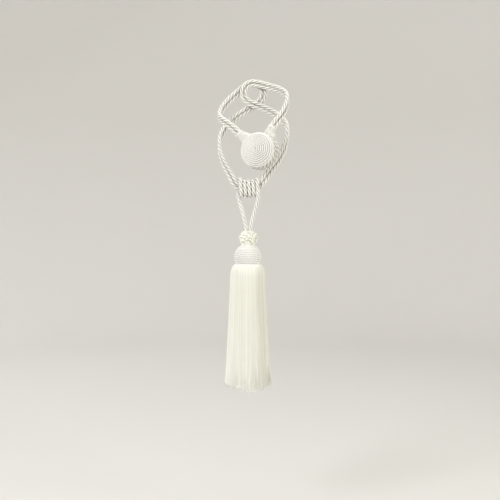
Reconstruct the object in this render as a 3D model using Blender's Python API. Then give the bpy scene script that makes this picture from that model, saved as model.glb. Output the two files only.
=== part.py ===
"""Curtain tieback tassel.

A pair of twisted cords runs twice round a gathered curtain and hangs on a hook behind it by its
two end loops.  Its ends are sewn into the flared necks of a wound button.  A thinner cord is
wrapped five times round the lower run of the pair, and its two legs carry the tassel: a ruff of
looped yarn, a cord-wound ball and a long skirt of yarn.

Metres, +Z up, the front faces -Y.  The origin is the hook's place inside the end loops.
"""

import math

import bmesh
import bpy
from mathutils import Vector

MM = 0.001
TURN = 2.0 * math.pi
GAP = 0.3 * MM                      # between pieces that touch
SHARP_ANGLE = math.radians(50.0)    # edges over it are shaded sharp

# The waist: the ellipse that the pair's centreline follows round the gathered curtain.
WAIST_X = -0.5 * MM
WAIST_Y = -42.0 * MM
WAIST_HALF_WIDTH = 57.5 * MM
WAIST_HALF_DEPTH = 42.0 * MM

# The two tie cords lie flat on the waist, side by side.
TIE_DIAMETER = 6.4 * MM
TIE_LAY = 27.0 * MM                 # length of one whole turn of the rope's three strands
TIE_STEPS_PER_LAY = 7
PAIR_SPACING = TIE_DIAMETER + GAP
PAIR_SAMPLES = 8                    # points of the smooth curve between two of the route's
ROPE_STRANDS = 3
ROPE_HOLLOW = 0.70                  # radius between a rope's strands, to the radius over them

# The route of the pair's centreline, chosen by hand:
# degrees from the front (+ to the right), height in mm, stand-off from the waist in mm.
PAIR_ROUTE = (
    (29.5, -61.5, 6.0),             # the button's right neck
    (36.5, -53.5, 4.0),
    (47.0, -44.5, 2.0),
    (63.5, -31.5, 0.0),
    (81.0, -15.5, -0.5),
    (97.0, -5.0, -2.0),
    (115.0, 2.0, -4.5),
    (135.0, 7.7, -6.5),
    (155.0, 12.6, -8.0),
    (173.7, 16.6, -8.0),            # right end loop, round the hook
    (184.2, 17.1, -8.0),
    (193.7, 13.0, -8.0),
    (199.6, 5.4, -8.0),
    (200.2, -3.6, -8.0),
    (195.2, -11.7, -8.0),
    (186.3, -16.6, -8.0),
    (170.0, -22.0, -8.0),
    (150.0, -29.5, -7.5),
    (130.0, -38.0, -5.5),
    (112.0, -47.5, -3.0),
    (97.0, -57.5, -1.0),
    (84.0, -69.0, 0.0),
    (71.5, -82.5, 0.0),
    (59.0, -99.0, 0.0),
    (45.0, -115.3, 0.0),
    (30.0, -130.5, 0.5),
    (20.8, -142.0, 2.0),
    (14.0, -151.2, 4.5),
    (7.5, -158.2, 5.5),             # through the knot
    (-0.5, -161.0, 5.5),
    (-8.5, -161.5, 5.5),
    (-16.0, -161.3, 6.0),
    (-22.0, -160.1, 7.0),
    (-27.0, -156.0, 7.5),
    (-31.5, -149.8, 6.5),
    (-37.0, -142.7, 4.0),
    (-45.0, -134.2, 1.5),
    (-55.5, -123.5, 0.2),
    (-67.5, -110.5, 0.0),
    (-79.0, -100.0, 0.0),
    (-91.0, -88.5, 0.0),
    (-105.0, -74.5, 0.0),
    (-120.0, -61.5, 0.0),
    (-135.0, -50.0, 0.0),
    (-150.0, -40.0, 0.0),
    (-165.0, -30.5, 0.0),
    (-178.0, -22.3, 0.0),
    (-189.5, -14.7, 0.0),           # left end loop, behind the right one
    (-195.7, -7.9, 0.0),
    (-197.7, 0.9, 0.0),
    (-194.8, 9.5, 0.0),
    (-187.9, 15.6, 0.0),
    (-179.1, 17.5, 0.0),
    (-170.5, 14.7, 0.0),
    (-155.0, 3.4, 0.0),
    (-140.0, -7.8, 0.0),
    (-125.0, -18.5, 0.0),
    (-110.0, -28.5, 0.0),
    (-97.0, -36.5, 0.0),
    (-84.0, -42.8, 0.0),
    (-70.0, -47.6, 0.0),
    (-56.5, -52.3, 0.0),
    (-43.5, -58.4, 0.0),
    (-33.0, -65.2, 0.5),
    (-25.0, -72.0, 1.5),            # the button's left neck
)

# The hanger cord: two legs and the knot's wraps, which go down in front and up behind the pair.
HANGER_DIAMETER = 6.2 * MM
HANGER_LAY = 24.0 * MM
HANGER_STEPS_PER_LAY = 8
WRAPS = 5
WRAP_PITCH = 6.8 * MM
WRAP_START_X = -26.4 * MM
WRAP_HALF_HEIGHT = 12.1 * MM        # of a wrap's centreline
WRAP_HALF_DEPTH = 6.9 * MM
WRAP_DROP = 1.6 * MM                # of the wraps' middle below the pair's
END_WRAP_STRETCH = (1.30, 1.12)     # of the first and last upper halves, over the rising pair
WRAP_POINTS = 20                    # points of the route in each wrap
WRAP_BEND = math.pi * WRAP_HALF_DEPTH
WRAP_STRAIGHT = 2 * (WRAP_HALF_HEIGHT - WRAP_HALF_DEPTH)
WRAP_AROUND = 2 * WRAP_BEND + 2 * WRAP_STRAIGHT
KNOT_TOP = -120.0 * MM              # the pair's lower run in the knot lies below this
HANGER_SAMPLES = 4

# The legs' routes, chosen by hand, x, y, z in mm; the left one rises and the right one falls.
LEFT_LEG = (
    (-12.6, -91.0, -233.2),
    (-12.8, -91.0, -227.0),
    (-15.9, -90.6, -214.0),
    (-19.9, -89.0, -198.0),
    (-23.9, -86.0, -183.5),
    (-26.0, -81.2, -172.0),
)
RIGHT_LEG = (
    (6.9, -96.8, -171.5),
    (6.3, -95.6, -182.5),
    (1.7, -92.8, -198.5),
    (-2.7, -91.2, -214.5),
    (-5.5, -91.0, -227.0),
    (-5.8, -91.0, -233.2),
)

# The tassel hangs plumb on this axis.
TASSEL_X = -10.4 * MM
TASSEL_Y = -91.0 * MM

# The ruff: rows of looped yarn that lean round a short drum.
RUFF_X = -9.4 * MM
RUFF_TOP = -233.5 * MM
RUFF_BOTTOM = -256.7 * MM
RUFF_LOCKS = 14                     # in each row
RUFF_LEAN = 0.5                     # of a lock's width, from one row to the next
RUFF_LOCK_RISE = 2.6 * MM
RUFF_LOCK_EDGE = 0.7 * MM
RUFF_PROFILE = (                    # depth below the top and radius of the drum, mm
    (0.0, 7.9),
    (2.4, 9.6),
    (7.4, 12.0),
    (12.6, 11.8),
    (18.0, 9.9),
    (23.2, 8.8),
)

# The ball: cord wound in level rows on a round mould.
BALL_RADIUS = 22.4 * MM
BALL_Z = -275.8 * MM
BALL_TOP = RUFF_BOTTOM - GAP
BALL_BOTTOM = -288.2 * MM
BALL_ROWS = 11
BALL_GROOVE = 0.55 * MM
BALL_SEGMENTS = 24

# The skirt: a rounded head and rings of hanging locks that splay towards their ends.
SKIRT_TOP = BALL_BOTTOM - GAP
SKIRT_ROOT = -305.0 * MM
SKIRT_MIDDLE = -360.0 * MM
SKIRT_END = -490.5 * MM
SKIRT_MIDDLE_SPLAY = 1.075          # the skirt's radius there, to its radius at the roots
SKIRT_END_SPLAY = 1.35
SKIRT_LOCK_GAP = 0.5 * MM
SKIRT_HEAD_GAP = 0.4                # of the locks' gap, where they bend over the head
SKIRT_RAGGED = 3.5 * MM             # how far a lock's end may lie from the mean
SKIRT_GROOVE = 0.5 * MM             # at every second gap in the head
SKIRT_HEAD = (                      # depth below the skirt's top and radius, mm
    (0.0, 19.6),
    (1.6, 22.6),
    (4.2, 25.2),
    (8.6, 27.6),
)
SKIRT_RINGS = (                     # outer and inner radius in mm, locks
    (29.0, 25.6, 48),
    (25.0, 21.4, 38),
    (20.8, 17.0, 30),
    (16.4, 12.4, 22),
    (11.8, 7.6, 14),
    (7.0, 2.4, 7),
)

# The button: a thick disc with three rows of heavy cord round its side, and finer cord that is
# coiled over its rim and its slightly domed face.
BUTTON_BACK = Vector((13.2, -86.0, -102.6)) * MM
BUTTON_NORMAL = Vector((-0.387, -0.911, 0.131)).normalized()
BUTTON_SEGMENTS = 26
BUTTON_SIDE_ROW = 6.3 * MM          # width of one row along the button's axis
BUTTON_SIDE_CRESTS = (31.2 * MM, 30.6 * MM, 29.9 * MM)  # radius over each row, from the back
BUTTON_SIDE_GROOVE = 2.4 * MM
BUTTON_SIDE_LOBE = (                # share of a row's width, share of the groove's depth
    (0.22, 0.35),
    (0.5, 0.0),
    (0.78, 0.35),
    (1.0, 1.0),
)
BUTTON_RIM_RADIUS = 28.9 * MM       # over the fine row between the side and the face
BUTTON_FACE_ROWS = 9
BUTTON_FACE_ROW = 3.1 * MM
BUTTON_FACE_GROOVE = 0.7 * MM
BUTTON_FACE_MIDDLE = 0.4 * BUTTON_FACE_ROW      # radius of the flat spot where the coil starts
BUTTON_DOME = 4.9 * MM
BUTTON_DOME_POWER = 4               # keeps the dome flat but for its rounded edge

# The necks: sleeves of lengthwise yarn that flare from the pair's end to the button's side.
NECK_HALF_WIDTH = 6.9 * MM          # at the pair
NECK_HALF_DEPTH = 3.5 * MM
NECK_FLARE_HALF_WIDTH = 10.6 * MM   # at the button
NECK_FLARE_HALF_DEPTH = 6.2 * MM
NECK_FLARE_POWER = 1.5              # how late the width opens
NECK_FLUTES = 9
NECK_FLUTE_DEPTH = 0.14             # of the section's radius
NECK_SECTIONS = 6
NECK_END_SAG = 0.5 * MM             # of its end's flat faces, inside the round that they follow
NECKS = {                           # angle from the button's right, height, crest that it meets
    "right": (math.radians(60.0), 7.0 * MM, BUTTON_SIDE_CRESTS[0]),
    "left": (math.radians(139.0), 11.0 * MM, BUTTON_SIDE_CRESTS[1]),
}

COLOURS = {
    "cord": (0.78, 0.76, 0.72),
    "yarn": (0.80, 0.79, 0.70),
    "gimp": (0.80, 0.78, 0.75),
}


def clear_scene():
    for old in list(bpy.data.objects):
        bpy.data.objects.remove(old, do_unlink=True)


def material(name, colour, roughness):
    made = bpy.data.materials.new(name)
    made.use_nodes = True
    shader = made.node_tree.nodes["Principled BSDF"]
    shader.inputs["Base Color"].default_value = (*colour, 1.0)
    shader.inputs["Roughness"].default_value = roughness
    shader.inputs["Metallic"].default_value = 0.0
    return made


def add_object(name, bm, colour, roughness=0.85):
    """One named solid with its own material and smooth shading."""
    bmesh.ops.recalc_face_normals(bm, faces=bm.faces)
    mesh = bpy.data.meshes.new(name)
    bm.to_mesh(mesh)
    bm.free()
    mesh.shade_smooth()
    mesh.set_sharp_from_angle(angle=SHARP_ANGLE)
    mesh.materials.append(material(name + "_finish", colour, roughness))
    solid = bpy.data.objects.new(name, mesh)
    bpy.context.scene.collection.objects.link(solid)
    return solid


def along_span(start, start_slope, end, end_slope, t):
    """The place at a share of the way along a smooth span between two points with set slopes."""
    return (
        start * (2 * t**3 - 3 * t**2 + 1)
        + start_slope * (t**3 - 2 * t**2 + t)
        + end * (3 * t**2 - 2 * t**3)
        + end_slope * (t**3 - t**2)
    )


def smooth_curve(points, samples):
    """A smooth curve through the points, with so many samples in each span."""
    spans = [(b - a).length for a, b in zip(points, points[1:])]
    slopes = [(b - a) / span for a, b, span in zip(points, points[1:], spans)]
    tangents = [slopes[0]]
    for before, after, d0, d1 in zip(slopes, slopes[1:], spans, spans[1:]):
        tangents.append((before * d1 + after * d0) / (d0 + d1))
    tangents.append(slopes[-1])
    curve = []
    for i, span in enumerate(spans):
        start_slope = tangents[i] * span
        end_slope = tangents[i + 1] * span
        for k in range(samples):
            curve.append(along_span(points[i], start_slope, points[i + 1], end_slope, k / samples))
    curve.append(points[-1].copy())
    return curve


def evenly_spaced(curve, step):
    """Points about one step apart along a fine polyline, its two ends among them."""
    lengths = [0.0]
    for a, b in zip(curve, curve[1:]):
        lengths.append(lengths[-1] + (b - a).length)
    count = max(2, round(lengths[-1] / step))
    spaced = []
    j = 0
    for k in range(count + 1):
        target = lengths[-1] * k / count
        while j < len(curve) - 2 and lengths[j + 1] < target:
            j += 1
        share = (target - lengths[j]) / (lengths[j + 1] - lengths[j])
        spaced.append(curve[j].lerp(curve[j + 1], min(max(share, 0.0), 1.0)))
    return spaced


def tangents_of(curve):
    """Unit directions along a polyline."""
    last = len(curve) - 1
    return [(curve[min(i + 1, last)] - curve[max(i - 1, 0)]).normalized() for i in range(last + 1)]


def waist_point(degrees, height, stand_off):
    """The place at an angle from the front, at a height and a stand-off from the waist."""
    angle = math.radians(degrees)
    return Vector((
        WAIST_X + (WAIST_HALF_WIDTH + stand_off) * math.sin(angle),
        WAIST_Y - (WAIST_HALF_DEPTH + stand_off) * math.cos(angle),
        height,
    ))


def waist_normal(point):
    """The level direction out of the waist at a point."""
    across = (point.x - WAIST_X) / WAIST_HALF_WIDTH**2
    along = (point.y - WAIST_Y) / WAIST_HALF_DEPTH**2
    return Vector((across, along, 0.0)).normalized()


def pair_curve():
    """The pair's centreline."""
    rows = [waist_point(turn, height * MM, off * MM) for turn, height, off in PAIR_ROUTE]
    return smooth_curve(rows, PAIR_SAMPLES)


def beside(curve, offset):
    """A curve at an offset from the pair's centreline, on the waist's surface."""
    return [
        point + waist_normal(point).cross(along).normalized() * offset
        for point, along in zip(curve, tangents_of(curve))
    ]


def rope(name, curve, diameter, lay, steps_per_lay):
    """A rope with a left-hand twist: a section with a lobe for each strand, turning as it goes."""
    crest = diameter / 2
    corners = 2 * ROPE_STRANDS
    path = evenly_spaced(curve, lay / steps_per_lay)
    directions = tangents_of(path)
    side = directions[0].orthogonal().normalized()
    bm = bmesh.new()
    rings = []
    travelled = 0.0
    for i, (centre, along) in enumerate(zip(path, directions)):
        if i:
            travelled += (centre - path[i - 1]).length
        side = (side - along * side.dot(along)).normalized()
        other = along.cross(side)
        ring = []
        for k in range(corners):
            angle = TURN * k / corners - TURN * travelled / lay
            radius = crest * ROPE_HOLLOW if k % 2 else crest
            out = side * math.cos(angle) + other * math.sin(angle)
            ring.append(bm.verts.new(centre + out * radius))
        rings.append(ring)
    skin(bm, rings)
    return add_object(name, bm, COLOURS["cord"])


def skin(bm, rings):
    """Faces between rings of equal counts, with a face across each end."""
    count = len(rings[0])
    for near, far in zip(rings, rings[1:]):
        for k in range(count):
            j = (k + 1) % count
            bm.faces.new((near[k], near[j], far[j], far[k]))
    bm.faces.new(rings[0])
    bm.faces.new(rings[-1])


def turned(profile, segments):
    """A solid turned about +Z from a profile of (radius, height); its flat ends are closed."""
    bm = bmesh.new()
    rings = []
    for radius, height in profile:
        ring = []
        for k in range(segments):
            angle = TURN * k / segments
            ring.append(bm.verts.new((radius * math.cos(angle), radius * math.sin(angle), height)))
        rings.append(ring)
    skin(bm, rings)
    return bm


def wrap_centres(curve):
    """The pair's middle in the knot: a function from x to the point on the centreline there."""
    knot = [point for point in curve if point.y < WAIST_Y and point.z < KNOT_TOP]

    def middle(x):
        for a, b in zip(knot, knot[1:]):
            if min(a.x, b.x) <= x <= max(a.x, b.x):
                return a.lerp(b, (x - a.x) / (b.x - a.x))
        raise ValueError("the knot reaches past the pair's lower run")

    return middle


def wrap_offset(distance):
    """Depth and height on one wrap at a distance from its lowest point: up behind, down in front."""
    radius = WRAP_HALF_DEPTH
    high = WRAP_STRAIGHT / 2
    if distance < WRAP_BEND / 2:
        angle = distance / radius
        return radius * math.sin(angle), -high - radius * math.cos(angle)
    distance -= WRAP_BEND / 2
    if distance < WRAP_STRAIGHT:
        return radius, distance - high
    distance -= WRAP_STRAIGHT
    if distance < WRAP_BEND:
        angle = distance / radius
        return radius * math.cos(angle), high + radius * math.sin(angle)
    distance -= WRAP_BEND
    if distance < WRAP_STRAIGHT:
        return -radius, high - distance
    angle = (distance - WRAP_STRAIGHT) / radius
    return -radius * math.cos(angle), -high - radius * math.sin(angle)


def hanger_curve(pair):
    """Up the left leg, five wraps round the pair, and down the right leg."""
    middle = wrap_centres(pair)
    start = WRAP_BEND / 2
    end = WRAPS * WRAP_AROUND - WRAP_BEND / 2
    count = round((end - start) / WRAP_AROUND * WRAP_POINTS)
    wraps = []
    for k in range(count + 1):
        distance = start + (end - start) * k / count
        x = WRAP_START_X + WRAP_PITCH * distance / WRAP_AROUND
        depth, height = wrap_offset(distance % WRAP_AROUND)
        if height > 0.0 and distance < WRAP_AROUND:
            height *= END_WRAP_STRETCH[0]
        elif height > 0.0 and distance > (WRAPS - 1) * WRAP_AROUND:
            height *= END_WRAP_STRETCH[1]
        centre = middle(x)
        wraps.append(Vector((x, centre.y + depth, centre.z + height - WRAP_DROP)))
    left = [Vector(row) * MM for row in LEFT_LEG]
    right = [Vector(row) * MM for row in RIGHT_LEG]
    return smooth_curve(left + wraps + right, HANGER_SAMPLES)


def button_axes():
    """The button's right, up and facing directions."""
    across = Vector((-BUTTON_NORMAL.y, BUTTON_NORMAL.x, 0.0)).normalized()
    return across, BUTTON_NORMAL.cross(across), BUTTON_NORMAL


def button_place(angle, radius, height):
    """A place on the button from its angle, radius and height over its back."""
    across, up, facing = button_axes()
    return BUTTON_BACK + facing * height + (across * math.cos(angle) + up * math.sin(angle)) * radius


def button():
    profile = [(BUTTON_SIDE_CRESTS[0] - BUTTON_SIDE_GROOVE, 0.0)]
    for row, crest in enumerate(BUTTON_SIDE_CRESTS):
        for share, drop in BUTTON_SIDE_LOBE:
            profile.append((crest - drop * BUTTON_SIDE_GROOVE, (row + share) * BUTTON_SIDE_ROW))
    side = len(BUTTON_SIDE_CRESTS) * BUTTON_SIDE_ROW
    profile.append((BUTTON_RIM_RADIUS, side + BUTTON_FACE_ROW / 2))
    edge = BUTTON_FACE_ROWS * BUTTON_FACE_ROW
    profile.append((edge, side + BUTTON_FACE_ROW))
    for row in range(BUTTON_FACE_ROWS, 0, -1):
        for share, rise in ((0.5, BUTTON_FACE_GROOVE), (1.0, 0.0)):
            radius = max((row - share) * BUTTON_FACE_ROW, BUTTON_FACE_MIDDLE)
            crown = BUTTON_DOME * (1.0 - (radius / edge) ** BUTTON_DOME_POWER)
            profile.append((radius, side + BUTTON_FACE_ROW + crown + rise))
    profile.pop()
    bm = turned(profile, BUTTON_SEGMENTS)
    across, up, facing = button_axes()
    for vert in bm.verts:
        place = vert.co.copy()
        vert.co = BUTTON_BACK + across * place.x + up * place.y + facing * place.z
    return add_object("button", bm, COLOURS["gimp"])


def neck(side, end, outward):
    """A fluted sleeve from the pair's end to the button's side."""
    angle, height, crest = NECKS[side]
    end_radius = crest + GAP + NECK_END_SAG
    start = end + outward * GAP
    across = waist_normal(end).cross(outward).normalized()
    depth = outward.cross(across)
    seat = button_place(angle, end_radius, height)
    inward = (button_place(angle, 0.0, height) - seat).normalized()
    seat_across = BUTTON_NORMAL.cross(inward)
    if seat_across.dot(across) < 0.0:
        seat_across.negate()
    seat_depth = inward.cross(seat_across)
    if seat_depth.dot(depth) < 0.0:
        seat_depth.negate()
    reach = (seat - start).length
    bm = bmesh.new()
    rings = []
    for section in range(NECK_SECTIONS):
        t = section / (NECK_SECTIONS - 1)
        turned_share = t * t * (3.0 - 2.0 * t)
        centre = along_span(start, outward * reach, seat, inward * reach, t)
        wide = across.lerp(seat_across, turned_share).normalized()
        thick = depth.lerp(seat_depth, turned_share).normalized()
        opened = NECK_FLARE_HALF_WIDTH - NECK_HALF_WIDTH
        wide *= NECK_HALF_WIDTH + opened * t**NECK_FLARE_POWER
        thick *= NECK_HALF_DEPTH + (NECK_FLARE_HALF_DEPTH - NECK_HALF_DEPTH) * t
        ring = []
        for k in range(2 * NECK_FLUTES):
            turn = TURN * k / (2 * NECK_FLUTES)
            size = 1.0 - NECK_FLUTE_DEPTH * (k % 2)
            out = wide * math.cos(turn) + thick * math.sin(turn)
            ring.append(bm.verts.new(centre + out * size))
        rings.append(ring)
    skin(bm, rings)
    seat_on_button(bm, rings[-1], seat, end_radius)
    return add_object("button_neck_" + side, bm, COLOURS["yarn"])


def seat_on_button(bm, ring, seat, end_radius):
    """Bend a neck's flared end to the round of the button's side, with a point in its middle."""
    for vert in ring:
        rise = (vert.co - BUTTON_BACK).dot(BUTTON_NORMAL)
        foot = BUTTON_BACK + BUTTON_NORMAL * rise
        vert.co = foot + (vert.co - foot).normalized() * end_radius
    cap = next(face for face in bm.faces if len(face.verts) == len(ring) and ring[0] in face.verts)
    bmesh.ops.delete(bm, geom=[cap], context="FACES_ONLY")
    middle = bm.verts.new(seat)
    for k, vert in enumerate(ring):
        bm.faces.new((vert, ring[(k + 1) % len(ring)], middle))


def ruff():
    """A drum whose side is drawn out into leaning rows of short locks."""
    profile = [(radius * MM, -depth * MM) for depth, radius in RUFF_PROFILE]
    bm = turned(profile, RUFF_LOCKS)
    heights = [height for _, height in profile]
    lean = TURN / RUFF_LOCKS * RUFF_LEAN
    for vert in bm.verts:
        row = min(range(len(heights)), key=lambda k: abs(heights[k] - vert.co.z))
        angle = math.atan2(vert.co.y, vert.co.x) + row * lean
        radius = math.hypot(vert.co.x, vert.co.y)
        vert.co.x = radius * math.cos(angle)
        vert.co.y = radius * math.sin(angle)
    bmesh.ops.recalc_face_normals(bm, faces=bm.faces)
    sides = [face for face in bm.faces if len(face.verts) == 4]
    bmesh.ops.inset_individual(bm, faces=sides, thickness=RUFF_LOCK_EDGE, depth=RUFF_LOCK_RISE)
    for vert in bm.verts:
        vert.co.z = min(max(vert.co.z, RUFF_BOTTOM - RUFF_TOP), 0.0)
        vert.co += Vector((RUFF_X, TASSEL_Y, RUFF_TOP))
    return add_object("ruff", bm, COLOURS["yarn"])


def ball():
    """Level rows of cord on a sphere, flat where the ruff and the skirt meet it."""
    top = math.acos((BALL_TOP - BALL_Z) / BALL_RADIUS)
    bottom = math.acos((BALL_BOTTOM - BALL_Z) / BALL_RADIUS)
    profile = []
    for k in range(2 * BALL_ROWS + 1):
        polar = top + (bottom - top) * k / (2 * BALL_ROWS)
        radius = BALL_RADIUS - (0.0 if k % 2 else BALL_GROOVE)
        profile.append((radius * math.sin(polar), BALL_Z + radius * math.cos(polar)))
    profile[0] = (profile[0][0], BALL_TOP)
    profile[-1] = (profile[-1][0], BALL_BOTTOM)
    bm = turned(profile, BALL_SEGMENTS)
    bmesh.ops.translate(bm, verts=bm.verts, vec=(TASSEL_X, TASSEL_Y, 0.0))
    return add_object("ball_head", bm, COLOURS["gimp"])


def lock_ring(bm, radius, locks, gap_angle, height):
    """A ring with two corners for each lock."""
    ring = []
    for k in range(locks):
        middle = TURN * k / locks
        half = TURN / locks / 2 - gap_angle / 2
        for angle in (middle - half, middle + half):
            ring.append(bm.verts.new((radius * math.cos(angle), radius * math.sin(angle), height)))
    return ring


def uneven(number):
    """A fixed value between -1 and 1 for a numbered lock."""
    return math.sin(number * 12.9898) * math.cos(number * 4.1414 + 1.3)


def skirt_splay(height):
    """The skirt's radius at a height, to its radius at the roots."""
    if height > SKIRT_MIDDLE:
        share = (SKIRT_ROOT - height) / (SKIRT_ROOT - SKIRT_MIDDLE)
        return 1.0 + (SKIRT_MIDDLE_SPLAY - 1.0) * share
    share = (SKIRT_MIDDLE - height) / (SKIRT_MIDDLE - SKIRT_END)
    return SKIRT_MIDDLE_SPLAY + (SKIRT_END_SPLAY - SKIRT_MIDDLE_SPLAY) * share


def bridge(bm, near, far):
    """Faces between two closed rings that may differ in their counts."""
    edges = []
    for ring in (near, far):
        for k, vert in enumerate(ring):
            other = ring[(k + 1) % len(ring)]
            edges.append(bm.edges.get((vert, other)) or bm.edges.new((vert, other)))
    bmesh.ops.bridge_loops(bm, edges=edges)


def skirt():
    """A rounded head whose underside is drawn down into rings of locks."""
    bm = bmesh.new()
    roots = []
    inner_ring = None
    first_ring = None
    for outer, inner, locks in SKIRT_RINGS:
        gap_angle = SKIRT_LOCK_GAP / (inner * MM)
        outside = lock_ring(bm, outer * MM, locks, gap_angle, SKIRT_ROOT)
        inside = lock_ring(bm, inner * MM, locks, gap_angle, SKIRT_ROOT)
        count = 2 * locks
        for k in range(count):
            j = (k + 1) % count
            face = bm.faces.new((outside[k], outside[j], inside[j], inside[k]))
            if k % 2 == 0:
                roots.append(face)
        if inner_ring:
            bridge(bm, inner_ring, outside)
        else:
            first_ring = outside
        inner_ring = inside
    bm.faces.new(inner_ring)
    close_skirt_head(bm, first_ring)
    hang_locks(bm, roots)
    bmesh.ops.translate(bm, verts=bm.verts, vec=(TASSEL_X, TASSEL_Y, 0.0))
    return add_object("skirt", bm, COLOURS["yarn"])


def close_skirt_head(bm, rim):
    """The head's round shoulder, grooved at every second gap, up to its flat top."""
    _, inner, locks = SKIRT_RINGS[0]
    gap_angle = SKIRT_HEAD_GAP * SKIRT_LOCK_GAP / (inner * MM)
    rings = [rim]
    for depth, radius in reversed(SKIRT_HEAD):
        ring = lock_ring(bm, radius * MM, locks, gap_angle, SKIRT_TOP - depth * MM)
        if depth:
            for k in range(0, len(ring), 4):
                for corner in (ring[k - 1], ring[k]):
                    corner.co.xy *= 1.0 - SKIRT_GROOVE / (radius * MM)
        rings.append(ring)
    for near, far in zip(rings, rings[1:]):
        for k in range(len(near)):
            j = (k + 1) % len(near)
            bm.faces.new((near[k], near[j], far[j], far[k]))
    bm.faces.new(rings[-1])


def hang_locks(bm, roots):
    """Draw each root face down to the skirt's middle and then to a ragged end."""
    bmesh.ops.recalc_face_normals(bm, faces=bm.faces)
    for number, root in enumerate(roots):
        tip = SKIRT_END + SKIRT_RAGGED * uneven(number + 1)
        face = root
        for height in (SKIRT_MIDDLE, tip):
            splay = skirt_splay(height) / skirt_splay(face.verts[0].co.z)
            face = bmesh.ops.extrude_discrete_faces(bm, faces=[face])["faces"][0]
            for vert in face.verts:
                vert.co = Vector((vert.co.x * splay, vert.co.y * splay, height))


def main():
    clear_scene()
    pair = pair_curve()
    for letter, side in (("a", 0.5), ("b", -0.5)):
        curve = beside(pair, side * PAIR_SPACING)
        rope("tie_cord_" + letter, curve, TIE_DIAMETER, TIE_LAY, TIE_STEPS_PER_LAY)
    rope("hanger_cord", hanger_curve(pair), HANGER_DIAMETER, HANGER_LAY, HANGER_STEPS_PER_LAY)
    button()
    neck("right", pair[0], (pair[0] - pair[1]).normalized())
    neck("left", pair[-1], (pair[-1] - pair[-2]).normalized())
    ruff()
    ball()
    skirt()


main()
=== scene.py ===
"""Curtain tieback tassel: the twisted cords, wound button and ball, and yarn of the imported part.

Metres, +Z up, the front faces -Y.  The origin is the hook's place inside the end loops.
"""

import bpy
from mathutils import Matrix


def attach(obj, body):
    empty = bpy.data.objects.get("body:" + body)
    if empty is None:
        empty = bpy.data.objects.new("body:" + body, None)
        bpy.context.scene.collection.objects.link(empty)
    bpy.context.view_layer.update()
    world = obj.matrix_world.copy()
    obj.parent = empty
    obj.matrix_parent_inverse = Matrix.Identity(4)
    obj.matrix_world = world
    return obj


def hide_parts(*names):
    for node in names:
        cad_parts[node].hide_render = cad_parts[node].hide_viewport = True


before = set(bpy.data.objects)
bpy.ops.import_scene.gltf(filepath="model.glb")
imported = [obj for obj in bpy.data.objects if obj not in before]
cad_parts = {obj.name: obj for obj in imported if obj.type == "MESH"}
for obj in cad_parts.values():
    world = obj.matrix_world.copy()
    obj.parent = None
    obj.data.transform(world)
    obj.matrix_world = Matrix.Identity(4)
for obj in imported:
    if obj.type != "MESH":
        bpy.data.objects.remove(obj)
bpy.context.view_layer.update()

import random
from itertools import accumulate
from math import acos, copysign, cos, dist, hypot, pi, radians, sin

import bpy
from bpy.props import FloatProperty, FloatVectorProperty, IntProperty, PointerProperty
from mathutils import Vector

bl_info = {
    "name": "Curtain Tieback Tassel",
    "version": (1, 0, 0),
    "blender": (4, 5, 0),
    "location": "View3D > Sidebar > Tieback",
    "description": "Makes a tieback's twisted cords, wound button and ball, ruff and yarn skirt",
    "category": "Object",
}

MM = 0.001
TURN = 2.0 * pi
BODY = "root"

# The waist: the ellipse that the pair's centreline follows round the gathered curtain.
WAIST_X = -0.5 * MM
WAIST_Y = -42.0 * MM
WAIST_HALF_WIDTH = 57.5 * MM
WAIST_HALF_DEPTH = 42.0 * MM
PAIR_SPACING = 6.7 * MM  # between the two tie cords' centrelines

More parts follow.
